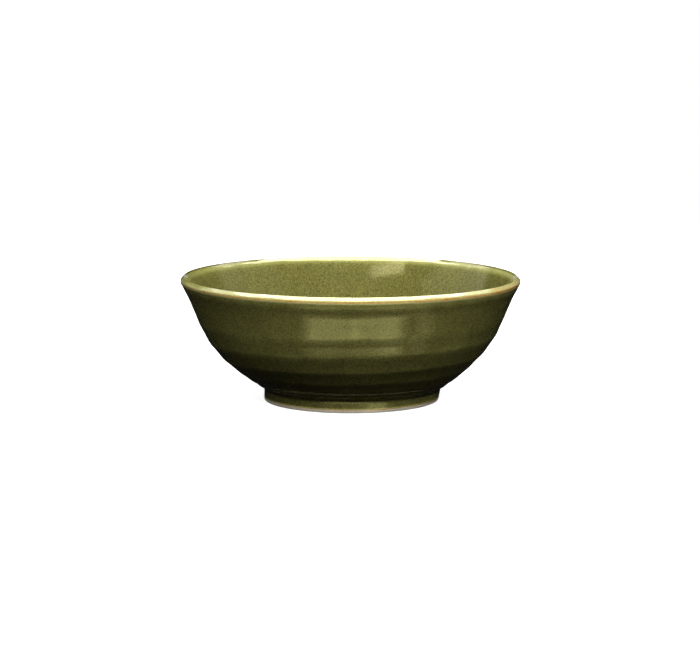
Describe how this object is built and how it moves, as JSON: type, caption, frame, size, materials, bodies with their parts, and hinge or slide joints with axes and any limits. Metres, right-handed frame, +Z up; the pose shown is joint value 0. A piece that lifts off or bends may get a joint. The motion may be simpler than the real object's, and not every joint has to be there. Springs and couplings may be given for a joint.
{
  "type": "rice bowl",
  "caption": "Wheel-thrown stoneware rice bowl with a flared lip, finger-wide throwing bands, a low trimmed foot and an olive glaze that leaves the standing edge bare.",
  "frame": {"origin": "centre of the standing ring, on the surface that the bowl rests on", "axes": "+Z up through the middle of the bowl, which is its axis of symmetry; +X and +Y are any two level directions"},
  "size_m": [0.155, 0.155, 0.0568],
  "materials": {
    "stoneware_clay": "matte",
    "olive_glaze": "gloss"
  },
  "bodies": {
    "root": {"bowl_body": "stoneware_clay", "foot_ring": "stoneware_clay", "inside_glaze": "olive_glaze", "outside_glaze": "olive_glaze", "foot_well_glaze": "olive_glaze"}
  },
  "joints": []
}
